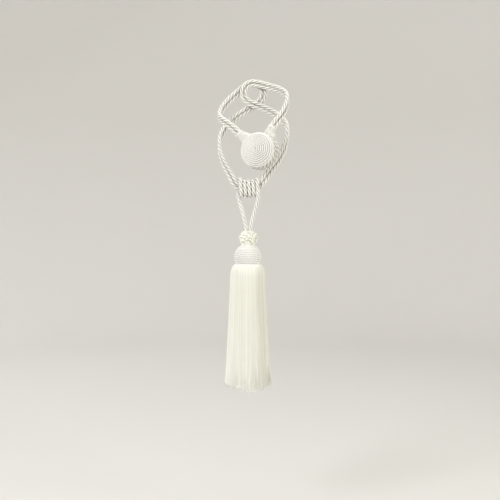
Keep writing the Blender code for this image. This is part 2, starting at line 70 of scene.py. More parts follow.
# The route of the pair's centreline:
# degrees from the front (+ to the right), height in mm, stand-off from the waist in mm.
PAIR_ROUTE = (
    (29.5, -61.5, 6.0),  # the button's right neck
    (36.5, -53.5, 4.0),
    (47.0, -44.5, 2.0),
    (63.5, -31.5, 0.0),
    (81.0, -15.5, -0.5),
    (97.0, -5.0, -2.0),
    (115.0, 2.0, -4.5),
    (135.0, 7.7, -6.5),
    (155.0, 12.6, -8.0),
    (173.7, 16.6, -8.0),  # right end loop, round the hook
    (184.2, 17.1, -8.0),
    (193.7, 13.0, -8.0),
    (199.6, 5.4, -8.0),
    (200.2, -3.6, -8.0),
    (195.2, -11.7, -8.0),
    (186.3, -16.6, -8.0),
    (170.0, -22.0, -8.0),
    (150.0, -29.5, -7.5),
    (130.0, -38.0, -5.5),
    (112.0, -47.5, -3.0),
    (97.0, -57.5, -1.0),
    (84.0, -69.0, 0.0),
    (71.5, -82.5, 0.0),
    (59.0, -99.0, 0.0),
    (45.0, -115.3, 0.0),
    (30.0, -130.5, 0.5),
    (20.8, -142.0, 2.0),
    (14.0, -151.2, 4.5),
    (7.5, -158.2, 5.5),  # through the knot
    (-0.5, -161.0, 5.5),
    (-8.5, -161.5, 5.5),
    (-16.0, -161.3, 6.0),
    (-22.0, -160.1, 7.0),
    (-27.0, -156.0, 7.5),
    (-31.5, -149.8, 6.5),
    (-37.0, -142.7, 4.0),
    (-45.0, -134.2, 1.5),
    (-55.5, -123.5, 0.2),
    (-67.5, -110.5, 0.0),
    (-79.0, -100.0, 0.0),
    (-91.0, -88.5, 0.0),
    (-105.0, -74.5, 0.0),
    (-120.0, -61.5, 0.0),
    (-135.0, -50.0, 0.0),
    (-150.0, -40.0, 0.0),
    (-165.0, -30.5, 0.0),
    (-178.0, -22.3, 0.0),
    (-189.5, -14.7, 0.0),  # left end loop, behind the right one
    (-195.7, -7.9, 0.0),
    (-197.7, 0.9, 0.0),
    (-194.8, 9.5, 0.0),
    (-187.9, 15.6, 0.0),
    (-179.1, 17.5, 0.0),
    (-170.5, 14.7, 0.0),
    (-155.0, 3.4, 0.0),
    (-140.0, -7.8, 0.0),
    (-125.0, -18.5, 0.0),
    (-110.0, -28.5, 0.0),
    (-97.0, -36.5, 0.0),
    (-84.0, -42.8, 0.0),
    (-70.0, -47.6, 0.0),
    (-56.5, -52.3, 0.0),
    (-43.5, -58.4, 0.0),
    (-33.0, -65.2, 0.5),
    (-25.0, -72.0, 1.5),  # the button's left neck
)

# The hanger cord: two legs and the knot's wraps, which go down in front and up behind the pair.
WRAPS = 5
WRAP_PITCH = 6.8 * MM
WRAP_START_X = -26.4 * MM
WRAP_HALF_HEIGHT = 12.1 * MM  # of a wrap's centreline
WRAP_HALF_DEPTH = 6.9 * MM
WRAP_DROP = 1.6 * MM  # of the wraps' middle below the pair's
END_WRAP_STRETCH = (1.30, 1.12)  # of the first and last upper halves, over the rising pair
WRAP_POINTS = 20  # points of the route in each wrap
WRAP_BEND = pi * WRAP_HALF_DEPTH  # lengths of a wrap's bend, of its straight and of all of it
WRAP_STRAIGHT = 2 * (WRAP_HALF_HEIGHT - WRAP_HALF_DEPTH)
WRAP_AROUND = 2 * (WRAP_BEND + WRAP_STRAIGHT)
KNOT_TOP = -120.0 * MM  # the pair's lower run in the knot lies below this
LEFT_LEG = (  # x, y, z in mm
    (-12.6, -91.0, -233.2), (-12.8, -91.0, -227.0), (-15.9, -90.6, -214.0),
    (-19.9, -89.0, -198.0), (-23.9, -86.0, -183.5), (-26.0, -81.2, -172.0),
)
RIGHT_LEG = (
    (6.9, -96.8, -171.5), (6.3, -95.6, -182.5), (1.7, -92.8, -198.5), (-2.7, -91.2, -214.5),
    (-5.5, -91.0, -227.0), (-5.8, -91.0, -233.2),
)

# The button, its axis from the back to the front, and its two necks.
BUTTON_BACK = Vector((13.2, -86.0, -102.6)) * MM
BUTTON_NORMAL = Vector((-0.387, -0.911, 0.131)).normalized()
BUTTON_SIDE_ROW = 6.3 * MM
BUTTON_SIDE_CRESTS = (31.2, 30.6, 29.9)  # radius over each heavy row, mm, from the back
BUTTON_FACE_COIL = (  # radius and height of the fine cord's centreline, mm
    (0.7, 26.1), (8.0, 25.9), (14.0, 25.5), (19.0, 25.0), (23.0, 24.4), (25.4, 23.9),
    (26.8, 22.8), (27.4, 21.3), (27.4, 16.8),
)
BUTTON_BACK_COIL = ((0.7, 1.6), (25.2, 1.6))
BUTTON_COIL_START = -0.215  # where a coil would leave the very middle, in turns
BUTTON_COIL_SHIFT = (-2.3, 1.7)  # of a coil's middle to the right and up, mm
BUTTON_COIL_REACH = 27.4 * MM  # radius at which a coil is round the button's axis
BUTTON_CORE_LOW = 3.0 * MM  # an inner drum, from which the windings face outwards
BUTTON_CORE_HIGH = 16.0 * MM
BUTTON_CORE_REACH = 20.0 * MM
BUTTON_CORE = (  # radius and height in mm
    (0.5, 1.2), (25.0, 1.2), (26.6, 3.0), (26.8, 21.0), (25.4, 22.9), (14.0, 24.6), (0.5, 25.2),
)
NECK_HALF_WIDTH = 6.9 * MM
NECK_HALF_DEPTH = 3.5 * MM
NECK_FLARE_HALF_WIDTH = 10.6 * MM
NECK_FLARE_HALF_DEPTH = 6.2 * MM
# Each neck: its angle from the button's right, its height, and the crest that it meets.
RIGHT_NECK = (radians(60.0), 7.0 * MM, BUTTON_SIDE_CRESTS[0] * MM)
LEFT_NECK = (radians(139.0), 11.0 * MM, BUTTON_SIDE_CRESTS[1] * MM)
NECK_RINGS = 17  # of each of its yarns
NECK_YARN_SIZE = 0.58  # radius, as a share of a yarn's part of the way round
NECK_OVERLAP = 1.2 * MM  # of the yarns over the pair's end
NECK_WAVER = 0.03  # to either side, in radians
NECK_WAVES = 5.0  # radians of the waver from end to end
NECK_SINKS = (0.4 * MM, 3.0 * MM)  # of the yarns' last two rings under the crest
NECK_CORE_RINGS = 9
NECK_CORE_SIDES = 16
NECK_CORE_FILL = 0.9  # of the neck's half widths
NECK_CORE_STEP = 2.0 * MM
WHIPPING_TURNS = 3
WHIPPING_POINTS = 28  # in a turn
WHIPPING_SPAN = (0.03, 0.25)  # shares of the neck
WHIPPING_REACH = 1.05  # in the neck's half widths

# The tassel hangs plumb on this axis.
TASSEL_AXIS = Vector((-10.4, -91.0, 0.0)) * MM
RUFF_AXIS = Vector((-9.4, -91.0, 0.0)) * MM
RUFF_DRUM = (  # height and radius in mm
    (-234.2, 5.4), (-236.0, 7.3), (-238.5, 9.5), (-241.5, 11.6), (-244.5, 12.3), (-248.0, 11.1),
    (-252.0, 9.5), (-256.6, 8.6),
)
RUFF_LOOPS_TOP = -235.9  # height of the first row's feet, mm
RUFF_LOOPS_BOTTOM = -255.2
# Of the ruff's loops, the least and the most where there are two, and mm unless it is said.
LOOP_SINK = 1.0  # of the feet under the drum
LOOP_SPAN = 3.0  # of the drum's height, over which its slope is taken
LOOP_TILT = -0.8 / LOOP_SPAN  # how far a loop follows that slope
LOOP_CLIMBS = (-0.8, 0.8)  # from the row's height
LOOP_SHIFTS = (-0.2, 0.2)  # from its place in the row, in loops
LOOP_LEANS = (0.2, 1.1)  # from level, in radians
LOOP_HALF_WIDTHS = (1.5, 2.2)
LOOP_RISES = (0.75, 1.1)  # in the settings' rise
LOOP_STRAY = 0.5  # how much further a rare loop rises
LOOP_SAGS = (-0.2, 0.9)
LOOP_TONES = (0.0, 0.7)
YARN_RISES = (0.9, 1.05)  # in the loop's rise
LOOP_YARN_SPACING = 0.85  # in yarn diameters
LOOP_RINGS = 11
LOOP_SIDES = 6
LOOP_NECK = 0.55  # width at its feet, as a share of its widest
# Painted shade at a loop's feet, fading to none at its top.
LOOP_FOOT_PAINTED_SHADE = 0.6
BALL_RADIUS = 22.4 * MM
BALL_Z = -275.8 * MM
BALL_TOP = -257.0 * MM
BALL_BOTTOM = -288.2 * MM
BALL_ROWS = 11
BALL_HIDDEN_ROWS = 1  # under the ruff
BALL_MOULD_DEPTH = 0.62  # cord diameters under the ball's outline
BALL_FOOT = (  # radius and height in mm of the smooth edge under its rows
    (18.8, -286.0), (19.7, -286.5), (20.3, -287.0), (20.8, -287.7),
)
SKIRT_OUTLINE = (  # height and radius in mm
    (-288.0, 17.2), (-287.3, 19.2), (-288.1, 21.7), (-290.4, 24.2), (-293.9, 26.3),
    (-298.0, 27.8), (-305.7, 29.0), (-330.7, 29.9), (-347.4, 30.7), (-380.9, 32.2),
    (-414.4, 34.1), (-448.1, 35.8), (-473.4, 37.3), (-491.2, 38.3),
)
# Painted shade on the skirt's threads at each height, for the light kept out of the bundle.
SKIRT_PAINTED_SHADE = (  # height in mm, and how far the light is kept out of the threads
    (-288.0, 0.54), (-297.0, 0.54), (-312.0, 0.56), (-380.0, 0.54), (-440.0, 0.48),
    (-484.0, 0.46),
)
SKIRT_TIPS = 58  # pointed clumps of ends round the skirt
SKIRT_STREAKS = 150  # lighter and darker streaks round the skirt
SKIRT_FRAYED_SIDE = radians(-15.0)  # where most of its threads stand off
SKIRT_LONGEST_SIDE = radians(-75.0)  # where its threads hang lowest
SKIRT_SLANT = 8.3 * MM  # how fast they get shorter away from it
SKIRT_MOST_SHORT = 6.2 * MM
GOLDEN_TURN = pi * (3.0 - 5.0**0.5)

# Of the skirt's inside and threads, the least and the most where there are two, and mm unless it
# is said.
SHOULDER = -300.0  # the threads hang straight below it
CORE_SUNK = 1.6  # under the shoulder's threads
CORE_INSET = 1.9
CORE_BOTTOM = -473.0
LAYER_DEPTH = 0.35  # of the first layer under the outline
LAYER_PITCH = 0.5
LOCK_PROUD = (-0.06, 0.06)
FRAY_CHANGE = 0.4  # half of the difference between its most and least frayed sides
TIP_HEIGHTS = (-0.8, 0.55)  # in ragged lengths
TIP_POINT = 1.1  # of a clump's sides over its tip, in ragged lengths
END_SHIFTS = (-0.42, 0.42)  # in ragged lengths
END_SIZE = 0.65  # of a thread, in its diameters
# Less painted shade on a thread's last rings, so its end looks lighter.
END_PAINTED_SHADE = 0.2
# Light painted shade on a thread's first rings, where it comes out from under the ball.
ROOT_PAINTED_SHADE = 0.3  # in the twist, under the ball
THREAD_SHIFTS = (-0.08, 0.08)  # from its place in the lock, in locks
THREAD_DEPTHS = (-0.1, 0.1)
THREAD_PULLS = (0.0, 0.15)  # towards the lock's middle, as a share of the way
THREAD_FLARES = (-0.15, 0.25)
THREAD_DRIFTS = (-0.005, 0.005)  # radians round the skirt
THREAD_TONE = 0.2
THREAD_TONES = (0.0, 0.5)
STREAK_TONE = 2.6
FRAYED_TONE = 2.2  # further, at the frayed side
STRAY_REACH = 2.6
STRAY_RARENESS = 14  # the power that makes long strays rare
SHORT_THREADS = 0.04  # share of the threads
SHORT_BY = (2.0, 12.0)
SHORT_STRAYS = (0.1, 0.9)
SHORTEST_END = -456.0
DRIFT_LENGTH = 190.0  # over which a thread takes its own direction
TIPS_TOP = -450.0  # clumps and strays form below it
TIPS_LENGTH = 40.0
WAVE = 0.002  # radians round the skirt
WAVE_LENGTH = 23.0  # to a radian of the wave
CUT_END = 0.4 * MM
CUT_END_SIZE = 0.6  # of the thread's radius
INNER_TOP = (-440.0 * MM, -465.0 * MM)
INNER_INSET = 1.7
INNER_SIZE = 1.0 * MM
INNER_ENDS = (0.9, 2.1)  # in ragged lengths
INNER_SHIFTS = (-0.3, 0.3)
# Painted shade on the inner threads.
INNER_PAINTED_SHADE = 0.35  # in the twist

# The twisted cords.
STRANDS = 3
YARN_LAY = 0.8  # of a strand's yarns, as a share of the cord's lay
# Extra painted shade in the groove between two yarns.
GROOVE_PAINTED_SHADE = 0.1  # between two yarns
# Painted shade on a cord's side towards its neighbour in the pair.
NEAR_PAINTED_SHADE_RISE = 1.4  # of the crevice beside a neighbouring cord
NEAR_PAINTED_SHADE_START = 0.45
CORD_STEP = 1.5 * MM  # between the rings of a heavy cord
FINE_CORD_PRESS = 1.05  # a wound cord's diameter, in the pitch of its rows
SIDE_CORD_PRESS = 1.04
WOUND_POINTS = 140  # in a turn
ROW_CLIMB = 0.1  # of a turn, from a level row to the next

# The look of yarn.
FIBRES_ALONG = 160.0  # streaks in a metre
FIBRES_APART = 90.0  # between the streaks of yarns of other tones
FIBRE_HEIGHT = 0.25 * MM
TONE_DULLS = 0.12  # how much of the shade's colour each of them brings
PATCH_DULLS = 0.10
STREAK_DULLS = 0.16
CLEAN_SHARE = 0.08
# How fast the painted shade grows with a surface's depth in the twist, and where it starts.
PAINTED_SHADE_RISE = 2.6
PAINTED_SHADE_START = 0.8
ROUGHER_BETWEEN = 0.12  # fibres

# The studio.
WALL_BEND = 0.9  # radius of the floor's curve up into the wall
WALL_HEIGHT = 3.6
WALL_RINGS = 16
WALL_SIDES = 96
LIT_PLACE = (0.0, -0.08, -0.25)
LIGHTS = (  # name, place, diameter, power in watts, colour
    ("key_light", (-1.4, -1.58, 0.95), 1.1, 34.0, (0.99, 0.995, 1.0)),
    ("fill_light", (1.6, -1.25, 0.6), 1.3, 21.5, (1.0, 0.98, 0.92)),
    ("back_light", (-1.2, 1.4, 1.2), 1.2, 12.0, (1.0, 1.0, 1.0)),
)


# --- settings ---


def length(name, description, default):
    return FloatProperty(
        name=name, description=description, default=default, min=0.0, unit="LENGTH", precision=5
    )


def how_many(name, description, default, least=1):
    return IntProperty(name=name, description=description, default=default, min=least)


def tint(name, description, *default):
    return FloatVectorProperty(
        name=name, description=description, default=default, min=0.0, max=1.0, size=3,
        subtype="COLOR",
    )


class CordSettings(bpy.types.PropertyGroup):
    """Sizes of the twisted cords."""

    tie_diameter: length("Tie cord", "Diameter of each tie cord", 6.8 * MM)
    tie_lay: length("Tie lay", "Length of one whole turn of its strands", 27.0 * MM)
    hanger_diameter: length("Hanger cord", "Diameter of the hanger cord", 6.8 * MM)
    hanger_lay: length("Hanger lay", "Length of one whole turn of its strands", 26.0 * MM)
    yarns: how_many("Yarns", "Yarns that show round each strand", 6, 3)


class ButtonSettings(bpy.types.PropertyGroup):
    """Sizes of the button's cords and necks."""

    face_cord: length("Face cord", "Diameter of the cord coiled on the face", 3.1 * MM)
    face_lay: length("Face lay", "Length of one whole turn of its strands", 8.5 * MM)
    side_lay: length("Side lay", "Length of one whole turn of the side cord", 21.0 * MM)
    neck_yarns: how_many("Neck yarns", "Lengthwise yarns round each neck", 28, 12)
    whipping: length("Whipping", "Diameter of the thread wound on a neck", 1.5 * MM)


class TasselSettings(bpy.types.PropertyGroup):
    """Sizes of the tassel's ruff, ball and skirt."""

    ball_lay: length("Ball lay", "Length of one whole turn of the ball's cord", 8.5 * MM)
    ruff_rows: how_many("Ruff rows", "Rows of loops", 7, 2)
    ruff_loops: how_many("Ruff loops", "Loops in each row", 16, 6)
    loop_yarn: length("Loop yarn", "Diameter of the ruff's yarn", 1.4 * MM)
    loop_rise: length("Loop rise", "How far a loop stands out of the drum", 3.2 * MM)
    locks: how_many("Locks", "Locks of yarn round the skirt", 64, 8)
    threads: how_many("Threads", "Threads in each lock of one layer", 10)
    layers: how_many("Layers", "Layers of whole threads", 2)
    thread: length("Thread", "Diameter of a skirt thread", 0.62 * MM)
    ragged: length("Ragged", "How far an end lies from the mean", 4.6 * MM)
    inner: how_many("Inner threads", "Threads inside the skirt", 1300)


class ColourSettings(bpy.types.PropertyGroup):
    """Colours of the yarns and of the floor."""

    cord: tint("Cord", "Bleached cord", 0.80, 0.79, 0.767)
    # The shade colours take both the yarns' random dull patches and the painted shade in their
    # crevices.
    cord_shade: tint("Cord shade", "Between its strands", 0.40, 0.38, 0.31)
    neck: tint("Neck", "Yarn of the button's necks", 0.785, 0.777, 0.752)
    gimp: tint("Gimp", "Wound cord of the button and the ball", 0.975, 0.97, 0.963)
    gimp_shade: tint("Gimp shade", "Between its strands", 0.48, 0.46, 0.39)
    yarn: tint("Yarn", "Ivory yarn of the ruff", 0.885, 0.885, 0.81)
    # The skirt's colour shows clean at its ends; painted shade darkens the rest of its threads.
    skirt: tint("Skirt", "Yarn of the skirt's loose ends", 0.925, 0.927, 0.89)
    yarn_shade: tint("Yarn shade", "Between the yarn's threads", 0.58, 0.57, 0.47)
    floor: tint("Floor", "Studio floor", 0.64, 0.627, 0.605)


class StageSettings(bpy.types.PropertyGroup):
    """The camera and the studio."""

    lens: FloatProperty(
        name="Lens", description="Focal length", default=70.69, subtype="DISTANCE_CAMERA"
    )
    pitch: FloatProperty(
        name="Pitch", description="How far the camera looks down", default=radians(4.136),
        subtype="ANGLE",
    )
    floor_height: FloatProperty(
        name="Floor", description="Height of the floor", default=-0.72, unit="LENGTH"
    )
    studio_radius: length("Studio", "Radius of the round backdrop", 2.6)


class TiebackSettings(bpy.types.PropertyGroup):
    """Everything that the tieback is made from."""

    cords: PointerProperty(type=CordSettings)
    button: PointerProperty(type=ButtonSettings)
    tassel: PointerProperty(type=TasselSettings)
    colours: PointerProperty(type=ColourSettings)
    stage: PointerProperty(type=StageSettings)


# --- shaders ---


class Value:
    """A number in a shader: Python's operators on it add Math nodes."""

    def __init__(self, shader, socket):
        self.shader = shader
        self.socket = socket

    def maths(self, operation, *operands):
        settings = {"operation": operation}
        return self.shader.value("ShaderNodeMath", settings, dict(enumerate(operands)))

    def __add__(self, other):
        return self.maths("ADD", self, other)

    __radd__ = __add__

    def __sub__(self, other):
        return self.maths("SUBTRACT", self, other)

    def __rsub__(self, other):
        return self.maths("SUBTRACT", other, self)

    def __mul__(self, other):
        return self.maths("MULTIPLY", self, other)

    __rmul__ = __mul__

    def limited(self):
        return self.maths("MINIMUM", self.maths("MAXIMUM", self, 0.0), 1.0)


class Shader:
    """The nodes of one material."""

    def __init__(self, name):
        self.material = bpy.data.materials.new(name)
        self.material.use_nodes = True
        self.tree = self.material.node_tree

    def fill(self, node, values):
        """Links or sets a node's sockets."""
        for key, value in values.items():
            if isinstance(value, Value):
                self.tree.links.new(value.socket, node.inputs[key])
            else:
                node.inputs[key].default_value = value

    def node(self, kind, settings, inputs):
        """A node of a kind; its settings are set before its sockets are filled or linked."""
        made = self.tree.nodes.new(kind)
        for key, value in settings.items():
            setattr(made, key, value)
        self.fill(made, inputs)
        return made

    def value(self, kind, settings, inputs, output=0):
        return Value(self, self.node(kind, settings, inputs).outputs[output])

    def mix(self, factor, first, second):
        """A colour between two others."""
        settings = {"data_type": "RGBA", "clamp_factor": True}
        inputs = {0: factor, 6: (*first, 1.0), 7: (*second, 1.0)}
        return self.value("ShaderNodeMix", settings, inputs, 2)

    def attribute(self, name):
        return self.value("ShaderNodeAttribute", {"attribute_name": name}, {}, "Fac")

    def noise(self, place, scale, detail, roughness=0.5):
        return self.value("ShaderNodeTexNoise", {}, {
            "Vector": place, "Scale": scale, "Detail": detail, "Roughness": roughness,
        })

    def surface(self, values):
        """Links or sets what the material's surface takes."""
        self.fill(self.tree.nodes["Principled BSDF"], values)


def yarn_material(
    name, colour, shade, roughness=0.6, sheen=0.25, fibres=7.0, bump=0.35, unevenness=1.0,
    painted_crevice_shade=1.0,
):
    """Twisted yarn: fine fibres along each thread, uneven threads and patches, and painted shade
    deep in its twist.
    """
    shader = Shader(name)
    uv = shader.value("ShaderNodeUVMap", {"uv_map": "yarn"}, {})
    parts = shader.node("ShaderNodeSeparateXYZ", {}, {"Vector": uv})
    around = Value(shader, parts.outputs["X"]) * TURN
    along = Value(shader, parts.outputs["Y"])
    tone = shader.attribute("tone")
    place = shader.value("ShaderNodeCombineXYZ", {}, {
        "X": around.maths("COSINE", around) * fibres,
        "Y": around.maths("SINE", around) * fibres,
        "Z": along * FIBRES_ALONG + tone * FIBRES_APART,
    })
    streaks = shader.noise(place, scale=1.0, detail=3.0, roughness=0.6)
    where = shader.value("ShaderNodeTexCoord", {}, {}, "Object")
    patches = shader.noise(where, scale=85.0, detail=2.0)
    dull = (tone * TONE_DULLS + patches * PATCH_DULLS) * unevenness
    dull = (dull + streaks * STREAK_DULLS - CLEAN_SHARE).limited()
    # Painted shade: the colour goes towards the shade colour where the depth attribute is high.
    painted_shade = (shader.attribute("depth") * PAINTED_SHADE_RISE - PAINTED_SHADE_START).limited() * painted_crevice_shade
    shader.surface({
        "Base Color": shader.mix((dull + painted_shade).limited(), colour, shade),
        "Roughness": roughness + ROUGHER_BETWEEN * (1.0 - streaks),
        "Normal": shader.value("ShaderNodeBump", {}, {
            "Strength": bump, "Distance": FIBRE_HEIGHT, "Height": streaks,
        }),
        "Metallic": 0.0,
        "Sheen Weight": sheen,
        "Sheen Roughness": 0.45,
    })
    return shader.material


# --- curves ---


def between(first, second, share):
    return first + (second - first) * share


def within(value, low=0.0, high=1.0):
    return min(max(value, low), high)


def ease(share):
    """A share whose change starts and ends gently."""
    share = within(share)
    return share * share * (3.0 - 2.0 * share)


def table_at(table, x):
    """The second column of a table at a value of its first one, which runs down."""
    for (x0, y0), (x1, y1) in zip(table, table[1:]):
        if x >= x1:
            return between(y0, y1, within((x0 - x) / (x0 - x1)))
    return table[-1][1]


def in_metres(table):
    return [(first * MM, second * MM) for first, second in table]


def polar(radius, angle):
    """The x and y of a point at a radius and an angle."""
    return radius * cos(angle), radius * sin(angle)


def swung(first, second, angle):
    """What lies at an angle from the first of two square vectors towards the second."""
    return first * cos(angle) + second * sin(angle)


def on_axis(axis):
    """Puts a point that is measured from an upright axis into the frame."""
    return lambda x, y, z: Vector((axis.x + x, axis.y + y, z))


def circle(radius, count):
    """Points round the origin."""
    return [polar(radius, TURN * k / count) for k in range(count)]


def distances_along(points):
    """How far along a line each of its points lies."""
    return list(accumulate(map(dist, points, points[1:]), initial=0.0))


def cubic(start, slope, end, end_slope, reach, t):
    """The place at t, from 0 to 1, on a curve between two places with its slopes there."""
    return (
        start * (2 * t**3 - 3 * t**2 + 1)
        + slope * (reach * (t**3 - 2 * t**2 + t))
        + end * (3 * t**2 - 2 * t**3)
        + end_slope * (reach * (t**3 - t**2))
    )


def smooth_curve(points, samples):
    """A smooth curve through the points, with so many samples in each span."""
    spans = [(b - a).length for a, b in zip(points, points[1:])]
    slopes = [(b - a) / span for a, b, span in zip(points, points[1:], spans)]
    tangents = [slopes[0]]
    for before, after, d0, d1 in zip(slopes, slopes[1:], spans, spans[1:]):
        tangents.append((before * d1 + after * d0) / (d0 + d1))
    tangents.append(slopes[-1])
    curve = [
        cubic(points[i], tangents[i], points[i + 1], tangents[i + 1], span, k / samples)
        for i, span in enumerate(spans)
        for k in range(samples)
    ]
    return curve + [points[-1]]


def evenly_spaced(curve, step):
    """Points about one step apart along a fine polyline, its two ends among them."""
    lengths = distances_along(curve)
    count = max(2, round(lengths[-1] / step))
    spaced = []
    j = 0
    for k in range(count + 1):
        target = lengths[-1] * k / count
        while j < len(curve) - 2 and lengths[j + 1] < target:
            j += 1
        share = (target - lengths[j]) / (lengths[j + 1] - lengths[j])
        spaced.append(curve[j].lerp(curve[j + 1], within(share)))
    return spaced


def tangents_of(curve):
    """Unit directions along a polyline."""
    last = len(curve) - 1
    return [(curve[min(i + 1, last)] - curve[max(i - 1, 0)]).normalized() for i in range(last + 1)]


def sides_of(curve):
    """Unit directions across a polyline, carried along it without a twist."""
    directions = tangents_of(curve)
    side = directions[0].orthogonal().normalized()
    sides = []
    for along in directions:
        side = (side - along * side.dot(along)).normalized()
        sides.append(side)
    return sides


def pair_curve():
    """The pair's centreline."""
    places = []
    for degrees, height, stand_off in PAIR_ROUTE:
        angle = radians(degrees)
        places.append(Vector((
            WAIST_X + (WAIST_HALF_WIDTH + stand_off * MM) * sin(angle),
            WAIST_Y - (WAIST_HALF_DEPTH + stand_off * MM) * cos(angle),
            height * MM,
        )))
    return smooth_curve(places, samples=8)


def across_pair(point, along):
    """The direction on the waist's surface that is square to the pair."""
    out_x = (point.x - WAIST_X) / WAIST_HALF_WIDTH**2
    out_y = (point.y - WAIST_Y) / WAIST_HALF_DEPTH**2
    return Vector((out_x, out_y, 0.0)).normalized().cross(along).normalized()


def beside(curve, offset):
    """A curve at an offset from the pair's centreline, on the waist's surface."""
    return [p + across_pair(p, along) * offset for p, along in zip(curve, tangents_of(curve))]


def knot_middle(pair, x):
    """The pair's centreline in the knot, at x."""
    for a, b in zip(pair, pair[1:]):
        in_knot = a.y < WAIST_Y and b.y < WAIST_Y and a.z < KNOT_TOP and b.z < KNOT_TOP
        if in_knot and min(a.x, b.x) <= x <= max(a.x, b.x):
            return a.lerp(b, (x - a.x) / (b.x - a.x))
    raise ValueError("the knot reaches past the pair's lower run")


def wrap_offset(distance):
    """Depth and height on one wrap at a distance from its lowest point: up behind, down in front."""
    side = WRAP_HALF_DEPTH if distance < WRAP_AROUND / 2 else -WRAP_HALF_DEPTH
    distance = min(distance, WRAP_AROUND - distance)
    over = distance - WRAP_BEND / 2 - WRAP_STRAIGHT
    if distance < WRAP_BEND / 2:
        angle = distance / WRAP_HALF_DEPTH
        return side * sin(angle), -WRAP_STRAIGHT / 2 - WRAP_HALF_DEPTH * cos(angle)
    if over < 0.0:
        return side, WRAP_STRAIGHT / 2 + over
    angle = over / WRAP_HALF_DEPTH
    return side * cos(angle), WRAP_STRAIGHT / 2 + WRAP_HALF_DEPTH * sin(angle)


def hanger_curve(pair):
    """Up the left leg, five wraps round the pair, and down the right leg."""
    start = WRAP_BEND / 2
    end = (WRAPS - 1) * WRAP_AROUND + 1.5 * WRAP_BEND + 2 * WRAP_STRAIGHT
    count = round((end - start) / WRAP_AROUND * WRAP_POINTS)
    wraps = []
    for k in range(count + 1):
        distance = between(start, end, k / count)
        x = WRAP_START_X + WRAP_PITCH * distance / WRAP_AROUND
        depth, height = wrap_offset(distance % WRAP_AROUND)
        if height > 0.0 and distance < WRAP_AROUND:
            height *= END_WRAP_STRETCH[0]
        elif height > 0.0 and distance > (WRAPS - 1) * WRAP_AROUND:
            height *= END_WRAP_STRETCH[1]
        centre = knot_middle(pair, x)
        wraps.append(Vector((x, centre.y + depth, centre.z + height - WRAP_DROP)))
    left, right = ([Vector(place) * MM for place in leg] for leg in (LEFT_LEG, RIGHT_LEG))
    return smooth_curve(left + wraps + right, samples=4)


# --- yarn meshes ---


def quads(rings, count, base=0):
    """Faces between rings of so many points, which follow each other from the base on."""
    return [
        (low + k, low + (k + 1) % count, low + count + (k + 1) % count, low + count + k)
        for low in range(base, base + (rings - 1) * count, count)
        for k in range(count)
    ]


def add_object(name, data):
    made = bpy.data.objects.new(name, data)
    bpy.context.scene.collection.objects.link(made)
    return made


